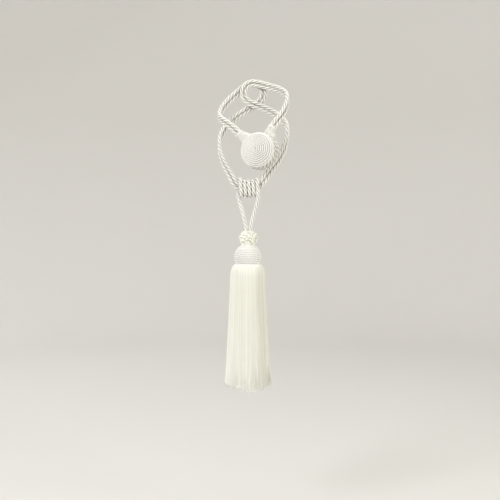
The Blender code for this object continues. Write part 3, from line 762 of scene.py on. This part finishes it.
class YarnMesh:
    """The tubes of one piece: places, faces, yarn coordinates, tones, and painted shade that deepens
    in the twist.
    """

    def __init__(self):
        self.places = []
        self.faces = []
        self.uvs = []
        self.tones = []
        self.shade_depths = []

    def skin(self, rings, tone, shade_depths, distances):
        """A tube through rings of equal counts, closed at both ends; the ends' UVs are a point."""
        count = len(rings[0])
        base = len(self.places)
        self.faces.extend(quads(len(rings), count, base))
        for ring in rings:
            self.places.extend(ring)
        self.tones.extend([tone] * len(shade_depths))
        self.shade_depths.extend(shade_depths)
        for near, far in zip(distances, distances[1:]):
            for k in range(count):
                left, right = k / count, (k + 1) / count
                self.uvs.extend(((left, near), (right, near), (right, far), (left, far)))
        last = len(self.places) - count
        self.faces.append(tuple(range(base + count - 1, base - 1, -1)))
        self.faces.append(tuple(range(last, last + count)))
        self.uvs.extend([(0.5, distances[0])] * count + [(0.5, distances[-1])] * count)

    def tube(self, line, radii, tone, sides=5, outward=None, yarns=0, yarn_lay=1.0, hollow=1.0):
        """A round tube along a line, or a strand of yarns that lie in ridges round it.

        outward is the way out of the body at each point: the tube's far side is deep inside, and
        painted shade darkens it."""
        count = 2 * yarns or sides
        distances = distances_along(line)
        rings = []
        shade_depths = []
        ways_out = outward or sides_of(line)
        for i, (place, along, out) in enumerate(zip(line, tangents_of(line), ways_out)):
            out = (out - along * out.dot(along)).normalized()
            other = along.cross(out)
            ring = []
            for k in range(count):
                angle = TURN * k / count
                if yarns:
                    angle += TURN * distances[i] / yarn_lay
                in_groove = yarns and k % 2
                reach = radii[i] * (hollow if in_groove else 1.0)
                # Painted shade: darker round towards the strand's inward side, and more in the
                # grooves between yarns.
                depth = 0.5 - 0.5 * cos(angle) if outward else 0.0
                shade_depths.append(depth + (GROOVE_PAINTED_SHADE if in_groove else 0.0))
                ring.append(place + swung(out, other, angle) * reach)
            rings.append(ring)
        self.skin(rings, tone, shade_depths, distances)

    def rope(
        self, route, diameter, lay, yarns, seed, press=1.05, hollow=0.88, faces=None, near=None,
        shade=1.0, row_painted_shade=0.52,
    ):
        """Strands wound round a route with a left-hand twist, their yarns with a right-hand one.

        faces are the ways out of the body that the rope is wound on, where there is one: then
        painted shade darkens the gaps between its rows too.  near are the directions of another rope
        beside it, and painted shade darkens the side towards it.  shade deepens the painted shade
        between its strands, row_painted_shade that between rows."""
        dice = random.Random(seed)
        size = diameter / (1.0 + 1.0 / sin(pi / STRANDS)) * press
        reach = diameter / 2 - size / 2
        around = list(zip(distances_along(route), route, sides_of(route), tangents_of(route)))
        for strand in range(STRANDS):
            line = []
            outward = []
            for distance, centre, side, along in around:
                angle = TURN * strand / STRANDS - TURN * distance / lay
                outward.append(swung(side, along.cross(side), angle))
                line.append(centre + outward[-1] * reach)
            tone = dice.uniform(0.35, 0.65)
            first = len(self.places)
            self.tube(
                line, [size / 2] * len(line), tone, outward=outward, yarns=yarns,
                yarn_lay=lay * YARN_LAY, hollow=hollow,
            )
            # Painted shade: deeper between the strands, between rows on the body beneath, and on the
            # side towards a neighbouring cord.
            for n in range(first, len(self.places)):
                i = (n - first) // (2 * yarns)
                reached = (self.places[n] - route[i]) / (diameter / 2)
                shade_depths = [self.shade_depths[n] * shade]
                if faces:
                    shade_depths.append(row_painted_shade * (1.0 - reached.dot(faces[i])))
                if near:
                    shade_depths.append(NEAR_PAINTED_SHADE_RISE * reached.dot(near[i]) - NEAR_PAINTED_SHADE_START)
                self.shade_depths[n] = max(shade_depths)

    def turned(self, profile, segments, place, tone=0.2, depth=0.0):
        """A body turned from a profile of (radius, height); place puts a point in the object, and
        depth sets its painted shade.
        """
        rings = [[place(x, y, z) for x, y in circle(radius, segments)] for radius, z in profile]
        self.skin(rings, tone, [depth] * (segments * len(rings)), distances_along(profile))

    def dressed(self, name, material, node):
        """The smoothly shaded piece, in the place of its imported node."""
        mesh = bpy.data.meshes.new(name)
        mesh.from_pydata([tuple(place) for place in self.places], [], self.faces)
        layer = mesh.uv_layers.new(name="yarn")
        layer.uv.foreach_set("vector", [part for uv in self.uvs for part in uv])
        # The depth attribute carries each point's painted shade.
        for attribute, values in (("tone", self.tones), ("depth", self.shade_depths)):
            mesh.attributes.new(attribute, "FLOAT", "POINT").data.foreach_set("value", values)
        mesh.shade_smooth()
        mesh.materials.append(material)
        piece = add_object(name, mesh)
        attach(piece, BODY)
        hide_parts(node)
        return piece


# --- the stage ---


def add_camera(settings):
    camera = bpy.data.cameras.new("camera")
    camera.lens = settings.lens
    camera.sensor_width = 36.0
    camera.dof.use_dof = False
    mounted = add_object("camera", camera)
    mounted.location = (-0.0066, -1.711, -0.147)
    mounted.rotation_euler = (pi / 2 - settings.pitch, 0.0, 0.0)
    bpy.context.scene.camera = mounted


def add_soft_light(name, place, size, power, colour):
    light = bpy.data.lights.new(name, "AREA")
    light.shape = "DISK"
    light.size = size
    light.energy = power
    light.color = colour
    lamp = add_object(name, light)
    lamp.location = place
    lamp.rotation_mode = "QUATERNION"
    lamp.rotation_quaternion = (Vector(LIT_PLACE) - Vector(place)).to_track_quat("-Z", "Y")
    lamp.visible_camera = False


def add_studio(settings, colour):
    """A round floor that curves up into a wall on every side."""
    floor = settings.floor_height
    flat = settings.studio_radius - WALL_BEND
    profile = [(0.1 * MM, floor), (flat, floor)]
    for k in range(1, WALL_RINGS + 1):
        angle = pi / 2 * k / WALL_RINGS
        reach, rise = WALL_BEND * sin(angle), WALL_BEND - WALL_BEND * cos(angle)
        profile.append((flat + reach, floor + rise))
    profile.append((settings.studio_radius, floor + WALL_HEIGHT))
    places = [(x, y, z) for radius, z in profile for x, y in circle(radius, WALL_SIDES)]
    mesh = bpy.data.meshes.new("studio_floor")
    mesh.from_pydata(places, [], quads(len(profile), WALL_SIDES))
    mesh.shade_smooth()
    shader = Shader("studio_paper")
    where = shader.value("ShaderNodeTexCoord", {}, {}, "Object")
    deeper = [0.96 * part for part in colour]
    shader.surface({
        "Base Color": shader.mix(shader.noise(where, scale=1.3, detail=2.0), deeper, colour),
        "Roughness": 0.95,
        "Specular IOR Level": 0.0,
    })
    mesh.materials.append(shader.material)
    add_object("studio_floor", mesh)


class TIEBACK_OT_stage(bpy.types.Operator):
    """Add the camera, the studio floor and the soft lights"""

    bl_idname = "tieback.stage"
    bl_label = "Stage"

    def execute(self, context):
        settings = context.scene.tieback
        add_camera(settings.stage)
        add_studio(settings.stage, settings.colours.floor)
        for light in LIGHTS:
            add_soft_light(*light)
        world = context.scene.world or bpy.data.worlds.new("studio")
        context.scene.world = world
        world.use_nodes = True
        sky = world.node_tree.nodes["Background"]
        sky.inputs["Color"].default_value = (1.0, 0.997, 0.97, 1.0)
        sky.inputs["Strength"].default_value = 1.12
        context.scene.view_settings.view_transform = "Standard"
        return {"FINISHED"}


# --- the cords ---


def add_cord(settings, node, curve, diameter, lay, seed, painted_crevice_shade, side=0.0):
    """A twisted cord along a curve.

    side is the cord's side of the pair, if it is one of the pair."""
    mesh = YarnMesh()
    route = evenly_spaced(curve, CORD_STEP)
    near = None
    if side:
        to_other = -copysign(1.0, side)
        near = [across_pair(p, along) * to_other for p, along in zip(route, tangents_of(route))]
    mesh.rope(route, diameter, lay, settings.cords.yarns, seed, press=1.0, near=near)
    colours = settings.colours
    finish = yarn_material(
        node + "_cotton", colours.cord, colours.cord_shade, roughness=0.62, painted_crevice_shade=painted_crevice_shade
    )
    piece = mesh.dressed(node + "_rope", finish, node)
    evenly_spaced(curve, step=4.0 * MM)


class TIEBACK_OT_tie_cords(bpy.types.Operator):
    """Add the two tie cords that run side by side twice round the curtain"""

    bl_idname = "tieback.tie_cords"
    bl_label = "Tie cords"

    def execute(self, context):
        settings = context.scene.tieback
        sizes = settings.cords
        pair = pair_curve()
        for node, side, seed in (("tie_cord_a", 0.5, 11), ("tie_cord_b", -0.5, 12)):
            curve = beside(pair, side * PAIR_SPACING)
            add_cord(
                settings, node, curve, sizes.tie_diameter, sizes.tie_lay, seed,
                painted_crevice_shade=0.68, side=side,
            )
        return {"FINISHED"}


class TIEBACK_OT_hanger_cord(bpy.types.Operator):
    """Add the cord that is wrapped round the pair and carries the tassel"""

    bl_idname = "tieback.hanger_cord"
    bl_label = "Hanger cord"

    def execute(self, context):
        settings = context.scene.tieback
        sizes = settings.cords
        add_cord(
            settings, "hanger_cord", hanger_curve(pair_curve()),
            sizes.hanger_diameter, sizes.hanger_lay, seed=21, painted_crevice_shade=0.55,
        )
        return {"FINISHED"}


# --- the button ---


def button_place(x, y, height):
    """A place on the button from its right, its up and its height over the back."""
    across = Vector((-BUTTON_NORMAL.y, BUTTON_NORMAL.x, 0.0)).normalized()
    return BUTTON_BACK + across * x + BUTTON_NORMAL.cross(across) * y + BUTTON_NORMAL * height


def button_foot(place):
    """A place's height over the button's back, and the point of its axis at that height."""
    rise = (place - BUTTON_BACK).dot(BUTTON_NORMAL)
    return rise, BUTTON_BACK + BUTTON_NORMAL * rise


def wound(profile, rows, start, level=False):
    """A cord wound along a profile of (radius, height): x, y and height, in a spiral or, from one
    end of the profile to the other, in level rows."""
    lengths = distances_along(profile)
    line = []
    for k in range(round(rows * WOUND_POINTS) + 1):
        turns = k / WOUND_POINTS
        share = turns / rows
        if level:
            row = min(int(turns), rows - 1)
            climb = ease(1.0 - (row + 1 - turns) / ROW_CLIMB) if row < rows - 1 else 0.0
            share = (row + climb) / (rows - 1)
        target = share * lengths[-1]
        j = next((j for j in range(1, len(lengths) - 1) if lengths[j] > target), len(lengths) - 1)
        part = (target - lengths[j - 1]) / (lengths[j] - lengths[j - 1])
        radius, height = (between(a, b, part) for a, b in zip(profile[j - 1], profile[j]))
        line.append((*polar(radius, start + TURN * turns), height))
    return line


class TIEBACK_OT_button(bpy.types.Operator):
    """Add the button: cord coiled on its two faces and heavier cord round its side"""

    bl_idname = "tieback.button"
    bl_label = "Button"

    def execute(self, context):
        settings = context.scene.tieback
        sizes = settings.button
        mesh = YarnMesh()
        self.add_coil(mesh, in_metres(BUTTON_FACE_COIL), sizes, seed=31)
        self.add_coil(mesh, in_metres(BUTTON_BACK_COIL), sizes, seed=32)
        side = [
            (crest * MM - BUTTON_SIDE_ROW / 2, (row + 0.5) * BUTTON_SIDE_ROW)
            for row, crest in enumerate(BUTTON_SIDE_CRESTS)
        ]
        rows = wound(side, len(side), start=radians(60.0), level=True)
        route = evenly_spaced([button_place(*place) for place in rows], CORD_STEP)
        mesh.rope(
            route, BUTTON_SIDE_ROW * SIDE_CORD_PRESS, sizes.side_lay, yarns=5, seed=33, press=0.97,
            hollow=0.78, faces=self.faces_at(route), shade=2.7,
        )
        # The inner drum is painted in full shade where it shows between the rows.
        mesh.turned(in_metres(BUTTON_CORE), 48, button_place, depth=1.0)
        colours = settings.colours
        finish = yarn_material("button_gimp", colours.gimp, colours.gimp_shade, painted_crevice_shade=0.7)
        mesh.dressed("button_winding", finish, "button")
        return {"FINISHED"}

    def add_coil(self, mesh, profile, sizes, seed):
        """Fine cord coiled from the middle of a face outwards."""
        cord = sizes.face_cord
        start = TURN * (BUTTON_COIL_START + profile[0][0] / cord)
        right, up = BUTTON_COIL_SHIFT
        line = []
        for x, y, height in wound(profile, distances_along(profile)[-1] / cord, start):
            shift = max(0.0, 1.0 - hypot(x, y) / BUTTON_COIL_REACH) * MM
            line.append(button_place(x + right * shift, y + up * shift, height))
        route = evenly_spaced(line, step=1.0 * MM)
        faces = self.faces_at(route)
        mesh.rope(
            route, cord * FINE_CORD_PRESS, sizes.face_lay, yarns=3, seed=seed, faces=faces, shade=1.2
        )

    def faces_at(self, route):
        """The directions out of the button at a route's points: square to it but for its edges."""
        faces = []
        for place in route:
            rise, foot = button_foot(place)
            radial = place - foot
            inner = BUTTON_BACK + BUTTON_NORMAL * within(rise, BUTTON_CORE_LOW, BUTTON_CORE_HIGH)
            inner += radial.normalized() * min(radial.length, BUTTON_CORE_REACH)
            faces.append((place - inner).normalized())
        return faces


# --- the button's necks ---


def turned_to(direction, guide):
    """The direction or its opposite, whichever is nearer to the guide."""
    return -direction if direction.dot(guide) < 0.0 else direction


def neck_section(end, outward, angle, height, crest):
    """A function from the share of a neck's way to its centre and its two half-width vectors."""
    across = across_pair(end, outward)
    depth = outward.cross(across)
    seat = button_place(*polar(crest, angle), height)
    inward = (button_place(0.0, 0.0, height) - seat).normalized()
    seat_across = turned_to(BUTTON_NORMAL.cross(inward), across)
    seat_depth = turned_to(inward.cross(seat_across), depth)

    def at(t):
        centre = cubic(end, outward, seat, inward, (seat - end).length, t)
        wide = across.lerp(seat_across, ease(t)).normalized()
        thick = depth.lerp(seat_depth, ease(t)).normalized()
        half_width = between(NECK_HALF_WIDTH, NECK_FLARE_HALF_WIDTH, t**1.5)
        return centre, wide * half_width, thick * between(NECK_HALF_DEPTH, NECK_FLARE_HALF_DEPTH, t)

    return at


def onto_side(place, radius):
    """A place moved to a radius round the button's axis."""
    foot = button_foot(place)[1]
    return foot + (place - foot).normalized() * radius


def add_neck(mesh, section, crest, sizes, seed):
    """Lengthwise yarns that flare from the pair's end to the button's side, and their whipping."""
    dice = random.Random(seed)
    yarns = sizes.neck_yarns
    back = (section(0.1)[0] - section(0.0)[0]).normalized() * NECK_OVERLAP
    for yarn in range(yarns):
        line = []
        radii = []
        outward = []
        waver = dice.uniform(-NECK_WAVER, NECK_WAVER)
        for k in range(-1, NECK_RINGS):
            share = k / (NECK_RINGS - 1)
            centre, wide, thick = section(max(share, 0.0))
            if k < 0:
                centre = centre - back
            turn = TURN * yarn / yarns + waver * sin(NECK_WAVES * share + yarn)
            size = pi * (wide.length + thick.length) / yarns * NECK_YARN_SIZE
            sunk = 1.0 - size / (wide.length + thick.length)
            line.append(centre + swung(wide, thick, turn) * sunk)
            radii.append(size)
            outward.append(swung(wide.normalized(), thick.normalized(), turn))
        line[-1] = onto_side(line[-1], crest - NECK_SINKS[0])
        line.append(onto_side(line[-1], crest - NECK_SINKS[1]))
        radii.append(radii[-1])
        outward.append(outward[-1])
        mesh.tube(line, radii, dice.uniform(0.2, 1.3), sides=6, outward=outward)
    core = []
    for k in range(NECK_CORE_RINGS):
        centre, wide, thick = section(k / (NECK_CORE_RINGS - 1))
        core.append([
            centre + swung(wide, thick, TURN * j / NECK_CORE_SIDES) * NECK_CORE_FILL
            for j in range(NECK_CORE_SIDES)
        ])
    distances = [k * NECK_CORE_STEP for k in range(NECK_CORE_RINGS)]
    mesh.skin(core, 0.2, [0.0] * (NECK_CORE_RINGS * NECK_CORE_SIDES), distances)
    whipping = []
    points = WHIPPING_TURNS * WHIPPING_POINTS
    for k in range(points + 1):
        centre, wide, thick = section(between(*WHIPPING_SPAN, k / points))
        turn = TURN * WHIPPING_TURNS * k / points
        whipping.append(centre + swung(wide, thick, turn) * WHIPPING_REACH)
    mesh.tube(whipping, [sizes.whipping / 2] * len(whipping), 0.3, sides=7)


class TIEBACK_OT_necks(bpy.types.Operator):
    """Add the two flared necks that take the pair's ends into the button"""

    bl_idname = "tieback.necks"
    bl_label = "Button necks"

    def execute(self, context):
        settings = context.scene.tieback
        colours = settings.colours
        pair = pair_curve()
        for side, end, before, (angle, height, crest), seed in (
            ("right", pair[0], pair[1], RIGHT_NECK, 41),
            ("left", pair[-1], pair[-2], LEFT_NECK, 42),
        ):
            mesh = YarnMesh()
            section = neck_section(end, (end - before).normalized(), angle, height, crest)
            add_neck(mesh, section, crest, settings.button, seed)
            node = "button_neck_" + side
            finish = yarn_material(
                node + "_yarn", colours.neck, colours.cord_shade, roughness=0.58, unevenness=2.0
            )
            mesh.dressed(node + "_yarns", finish, node)
        return {"FINISHED"}


# --- the ruff ---


class TIEBACK_OT_ruff(bpy.types.Operator):
    """Add the ruff of looped yarn round the legs' ends"""

    bl_idname = "tieback.ruff"
    bl_label = "Ruff"

    def execute(self, context):
        settings = context.scene.tieback
        sizes = settings.tassel
        dice = random.Random(51)
        mesh = YarnMesh()
        drum = [(radius * MM, height * MM) for height, radius in RUFF_DRUM]
        # The drum is painted in shade, so it shows between the loops as shadowed gaps.
        mesh.turned(drum, 32, on_axis(RUFF_AXIS), depth=0.8)
        for row in range(sizes.ruff_rows):
            middle = between(RUFF_LOOPS_TOP, RUFF_LOOPS_BOTTOM, row / (sizes.ruff_rows - 1))
            for number in range(sizes.ruff_loops):
                height = middle + dice.uniform(*LOOP_CLIMBS)
                place = number + 0.5 * row + dice.uniform(*LOOP_SHIFTS)
                self.add_loop(mesh, sizes, dice, height, TURN * place / sizes.ruff_loops)
        colours = settings.colours
        finish = yarn_material(
            "ruff_yarn", colours.yarn, colours.yarn_shade, sheen=0.3, unevenness=0.7, painted_crevice_shade=0.5
        )
        mesh.dressed("ruff_loops", finish, "ruff")
        return {"FINISHED"}

    def add_loop(self, mesh, sizes, dice, height, angle):
        """One leaning loop of three yarns, square to the drum, with its feet in it."""
        drum = (table_at(RUFF_DRUM, height) - LOOP_SINK) * MM
        swell = table_at(RUFF_DRUM, height + LOOP_SPAN / 2)
        swell -= table_at(RUFF_DRUM, height - LOOP_SPAN / 2)
        level = Vector((-sin(angle), cos(angle), 0.0))
        foot = on_axis(RUFF_AXIS)(*polar(drum, angle), height * MM)
        out = Vector((*polar(1.0, angle), LOOP_TILT * swell)).normalized()
        lean = dice.uniform(*LOOP_LEANS)
        across = swung(level, out.cross(level), lean)
        aside = out.cross(across) * LOOP_YARN_SPACING * sizes.loop_yarn
        half = dice.uniform(*LOOP_HALF_WIDTHS) * MM
        rise = sizes.loop_rise * (dice.uniform(*LOOP_RISES) + LOOP_STRAY * dice.random() ** 7)
        sag = dice.uniform(*LOOP_SAGS) * MM
        tone = dice.uniform(*LOOP_TONES)
        for yarn in (-1, 0, 1):
            lifted = rise * dice.uniform(*YARN_RISES)
            line = []
            shade_depths = []
            for k in range(LOOP_RINGS):
                swing, lift = polar(1.0, pi * k / (LOOP_RINGS - 1))
                swing *= half * between(LOOP_NECK, 1.0, lift)
                place = foot + out * (lifted * lift) + across * swing + aside * yarn
                place.z -= sag * lift
                line.append(place)
                # Painted shade, darkest at the feet by the drum.
                shade_depths.extend([LOOP_FOOT_PAINTED_SHADE * (1.0 - lift)] * LOOP_SIDES)
            mesh.tube(line, [sizes.loop_yarn / 2] * len(line), tone, sides=LOOP_SIDES)
            mesh.shade_depths[-len(shade_depths):] = shade_depths


# --- the ball ---


class TIEBACK_OT_ball(bpy.types.Operator):
    """Add the ball, wound with level rows of fine cord"""

    bl_idname = "tieback.ball"
    bl_label = "Ball"

    def execute(self, context):
        settings = context.scene.tieback
        mesh = YarnMesh()
        place = on_axis(TASSEL_AXIS)
        top = acos((BALL_TOP - BALL_Z) / BALL_RADIUS)
        bottom = acos((BALL_BOTTOM - BALL_Z) / BALL_RADIUS)
        cord = BALL_RADIUS * (bottom - top) / BALL_ROWS

        def outline(radius, shares):
            angles = [between(top, bottom, share) for share in shares]
            return [(radius * sin(angle), BALL_Z + radius * cos(angle)) for angle in angles]

        shares = [(row + 0.5) / BALL_ROWS for row in range(-BALL_HIDDEN_ROWS, BALL_ROWS)]
        rows = wound(outline(BALL_RADIUS - cord / 2, shares), len(shares), TURN / 4, level=True)
        route = evenly_spaced([place(*spot) for spot in rows], step=1.1 * MM)
        faces = [(spot - place(0.0, 0.0, BALL_Z)).normalized() for spot in route]
        mesh.rope(
            route, cord * FINE_CORD_PRESS, settings.tassel.ball_lay, yarns=3, seed=61, faces=faces,
            shade=0.7, row_painted_shade=0.8,
        )
        mould = outline(BALL_RADIUS - BALL_MOULD_DEPTH * cord, [k / 16 for k in range(-3, 17)])
        # The mould under the rows is painted in shade where it shows between them.
        mesh.turned(mould, 40, place, depth=0.7)
        # The smooth edge under the rows is painted in half shade, blending into the shade under the
        # ball.
        mesh.turned(in_metres(BALL_FOOT), 64, place, depth=0.5)
        colours = settings.colours
        finish = yarn_material("ball_gimp", colours.gimp, colours.gimp_shade, painted_crevice_shade=0.68)
        mesh.dressed("ball_winding", finish, "ball_head")
        return {"FINISHED"}


# --- the skirt ---


def shorter(angle):
    """How much shorter than the longest ones the skirt's threads in this direction are."""
    return min(SKIRT_SLANT * (1.0 - cos(angle - SKIRT_LONGEST_SIDE)), SKIRT_MOST_SHORT)


def with_cut_end(line, radii):
    """Ends a thread with a short narrow stretch, which keeps the shading of its side even."""
    along = (line[-1] - line[-2]).normalized()
    line.append(line[-1] + along * CUT_END)
    radii.append(CUT_END_SIZE * radii[-1])


class TIEBACK_OT_skirt(bpy.types.Operator):
    """Add the skirt of straight threads that bend over a round shoulder and hang"""

    bl_idname = "tieback.skirt"
    bl_label = "Skirt"

    def execute(self, context):
        settings = context.scene.tieback
        sizes = settings.tassel
        dice = random.Random(71)
        mesh = YarnMesh()
        self.add_core(mesh)
        tips = [dice.uniform(*TIP_HEIGHTS) for _ in range(SKIRT_TIPS)]
        streaks = [dice.random() for _ in range(SKIRT_STREAKS)]
        for layer in range(sizes.layers):
            for lock in range(sizes.locks):
                self.add_lock(mesh, sizes, dice, layer, lock, tips, streaks)
        for number in range(sizes.inner):
            self.add_inner_thread(mesh, sizes, dice, number)
        colours = settings.colours
        finish = yarn_material(
            "skirt_yarn", colours.skirt, colours.yarn_shade, roughness=0.5, fibres=3.0, bump=0.25,
            unevenness=0.5, painted_crevice_shade=0.6,
        )
        mesh.dressed("skirt_threads", finish, "skirt")
        return {"FINISHED"}

    def add_core(self, mesh):
        """The inside of the skirt, which keeps light from showing through it."""
        profile = []
        for height, radius in SKIRT_OUTLINE:
            sunk = CORE_SUNK if height > SHOULDER else 0.0
            profile.append((radius - CORE_INSET, max(height - sunk, CORE_BOTTOM)))
        mesh.turned(in_metres(profile), 64, on_axis(TASSEL_AXIS), tone=0.1)

    def add_lock(self, mesh, sizes, dice, layer, lock, tips, streaks):
        """The threads of one lock in one layer."""
        centre = TURN * (lock + 0.5 * (layer % 2)) / sizes.locks
        proud = dice.uniform(*LOCK_PROUD)
        fray = 1.0 - FRAY_CHANGE + FRAY_CHANGE * cos(centre - SKIRT_FRAYED_SIDE)
        for thread in range(sizes.threads):
            spread = (thread + 0.5) / sizes.threads - 0.5 + dice.uniform(*THREAD_SHIFTS) * fray
            angle = centre + TURN / sizes.locks * spread
            depth = LAYER_DEPTH + LAYER_PITCH * layer + dice.uniform(*THREAD_DEPTHS) - proud
            share = angle / TURN % 1.0
            clump = tips[int(share * SKIRT_TIPS)]
            clump += TIP_POINT * abs(2.0 * (share * SKIRT_TIPS % 1.0) - 1.0)
            end = (clump + dice.uniform(*END_SHIFTS)) * sizes.ragged + shorter(angle)
            streak = streaks[int(share * SKIRT_STREAKS)]
            tone = THREAD_TONE + (STREAK_TONE + FRAYED_TONE * fray) * streak
            stray = dice.random() ** STRAY_RARENESS * STRAY_REACH * fray
            if dice.random() < SHORT_THREADS:
                end += dice.uniform(*SHORT_BY) * MM
                stray += dice.uniform(*SHORT_STRAYS) * fray
            self.add_thread(mesh, sizes, dice, angle, centre, depth * MM, end, stray * MM, tone)

    def add_thread(self, mesh, sizes, dice, angle, centre, depth, end, stray, tone):
        """A thread from under the ball, over the shoulder and down to its end."""
        pull = (centre - angle) * dice.uniform(*THREAD_PULLS)
        flare = dice.uniform(*THREAD_FLARES) * MM + stray
        drift = dice.uniform(*THREAD_DRIFTS)
        phase = dice.uniform(0.0, TURN)
        line = []
        outward = []
        last = min(SKIRT_OUTLINE[-1][0] + end / MM, SHORTEST_END)
        stops = list(SKIRT_OUTLINE[:-2])
        stops += [(height, table_at(SKIRT_OUTLINE, height)) for height in (last + 4.0, last)]
        for height, radius in stops:
            share = ease((SHOULDER - height) / DRIFT_LENGTH)
            tip = ease((TIPS_TOP - height) / TIPS_LENGTH)
            out = radius * MM - depth + flare * tip
            turn = angle + pull * tip + drift * share
            turn += WAVE * sin(phase + height / WAVE_LENGTH) * share
            drop = depth if height > SHOULDER else 0.0
            outward.append(Vector((*polar(1.0, turn), 0.0)))
            line.append(TASSEL_AXIS + outward[-1] * out + Vector((0.0, 0.0, height * MM - drop)))
        outward.append(outward[-1])
        radii = [sizes.thread / 2] * (len(line) - 1) + [sizes.thread * END_SIZE]
        with_cut_end(line, radii)
        first = len(mesh.places)
        mesh.tube(line, radii, tone + dice.uniform(*THREAD_TONES), sides=4, outward=outward)
        # Painted shade along the thread: the bundle's shade by height, less at its end and under the
        # ball.
        thread_shade = [table_at(SKIRT_PAINTED_SHADE, height) for height, radius in stops[:-1]]
        thread_shade += [END_PAINTED_SHADE] * 2
        for n in range(first, len(mesh.places)):
            ring = (n - first) // 4
            mesh.shade_depths[n] = max(mesh.shade_depths[n], thread_shade[ring]) if ring > 2 else ROOT_PAINTED_SHADE

    def add_inner_thread(self, mesh, sizes, dice, number):
        """One of the threads that fill the skirt, from above its open end down."""
        share = ((number + 0.5) / sizes.inner) ** 0.5
        angle = number * GOLDEN_TURN
        end = SKIRT_OUTLINE[-1][0] * MM + dice.uniform(*INNER_ENDS) * sizes.ragged
        end += shorter(angle) * share
        line = []
        for height in (*INNER_TOP, end):
            radius = table_at(SKIRT_OUTLINE, height / MM) - INNER_INSET
            out = (radius * share + dice.uniform(*INNER_SHIFTS)) * MM
            line.append(on_axis(TASSEL_AXIS)(*polar(out, angle), height))
        radii = [INNER_SIZE / 2] * len(line)
        with_cut_end(line, radii)
        first = len(mesh.places)
        mesh.tube(line, radii, dice.random(), sides=3)
        # The inner threads are painted in shade.
        mesh.shade_depths[first:] = [INNER_PAINTED_SHADE] * (len(mesh.places) - first)


# --- the add-on ---


class TIEBACK_PT_panel(bpy.types.Panel):
    """The tieback's pieces in the sidebar"""

    bl_idname = "TIEBACK_PT_panel"
    bl_label = "Tieback"
    bl_space_type = "VIEW_3D"
    bl_region_type = "UI"
    bl_category = "Tieback"

    def draw(self, context):
        settings = context.scene.tieback
        for group in TiebackSettings.__annotations__:
            box = self.layout.box()
            for name in getattr(settings, group).__annotations__:
                box.prop(getattr(settings, group), name)
        for operator in OPERATORS:
            self.layout.operator(operator.bl_idname)


OPERATORS = (
    TIEBACK_OT_stage, TIEBACK_OT_tie_cords, TIEBACK_OT_hanger_cord, TIEBACK_OT_button,
    TIEBACK_OT_necks, TIEBACK_OT_ruff, TIEBACK_OT_ball, TIEBACK_OT_skirt,
)
CLASSES = (
    CordSettings, ButtonSettings, TasselSettings, ColourSettings, StageSettings, TiebackSettings,
    *OPERATORS, TIEBACK_PT_panel,
)


def register():
    for made in CLASSES:
        bpy.utils.register_class(made)
    bpy.types.Scene.tieback = PointerProperty(type=TiebackSettings)


def unregister():
    del bpy.types.Scene.tieback
    for made in reversed(CLASSES):
        bpy.utils.unregister_class(made)


def main():
    register()
    bpy.ops.tieback.stage()
    bpy.ops.tieback.tie_cords()
    bpy.ops.tieback.hanger_cord()
    bpy.ops.tieback.button()
    bpy.ops.tieback.necks()
    bpy.ops.tieback.ruff()
    bpy.ops.tieback.ball()
    bpy.ops.tieback.skirt()


if __name__ == "__main__":
    main()
